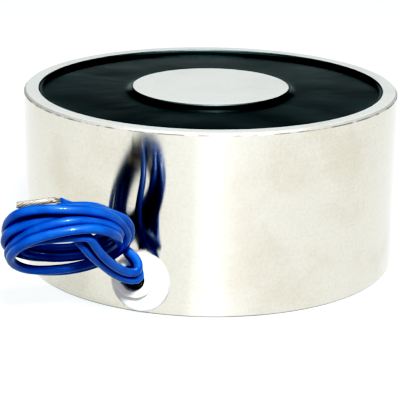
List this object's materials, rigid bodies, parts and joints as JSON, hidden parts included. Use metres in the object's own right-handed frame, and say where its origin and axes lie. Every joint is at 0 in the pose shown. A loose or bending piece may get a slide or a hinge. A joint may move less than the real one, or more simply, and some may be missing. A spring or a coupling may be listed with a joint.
{
  "type": "round holding electromagnet",
  "caption": "Round potted holding electromagnet: plated steel pot with a flush centre pole, black resin, a tapped back hole and coiled blue leads from a side grommet.",
  "frame": {"origin": "middle of the flat back face, in the plane that the magnet stands on", "axes": "+Z from the back face to the holding face along the pot's axis; -Y is the front, with the lead grommet 20.5 degrees round from it towards -X"},
  "size_m": [0.0807, 0.1047, 0.038],
  "materials": {
    "plated_steel": "bright nickel plating over fine turning marks, faint stains",
    "black_resin": "cast epoxy, semi-gloss, faint teal cast",
    "white_nylon": "moulded nylon, satin",
    "blue_insulation": "extruded PVC, glossy",
    "tinned_copper": "tinned copper strands",
    "enamelled_copper": "enamelled copper wire",
    "yellow_tape": "polyester tape",
    "clear_sleeve": "insulating sleeve"
  },
  "bodies": {
    "root": {"steel_pot": "plated_steel", "coil_bobbin": "white_nylon", "copper_winding": "enamelled_copper", "winding_tape": "yellow_tape", "potting_resin": "black_resin", "lead_grommet": "white_nylon", "grommet_sealant": "black_resin", "lead_a_inner": "blue_insulation", "lead_b_inner": "blue_insulation", "splice_sleeve_a": "clear_sleeve", "splice_sleeve_b": "clear_sleeve", "solder_joint_a": "tinned_copper", "solder_joint_b": "tinned_copper", "winding_finish_wire": "enamelled_copper", "winding_start_wire": "enamelled_copper", "lead_coil": "blue_insulation", "lead_a_root": "blue_insulation", "lead_b_root": "blue_insulation", "lead_a_tail": "blue_insulation", "lead_b_tail": "blue_insulation", "lead_a_tip": "tinned_copper", "lead_b_tip": "tinned_copper"}
  },
  "joints": []
}
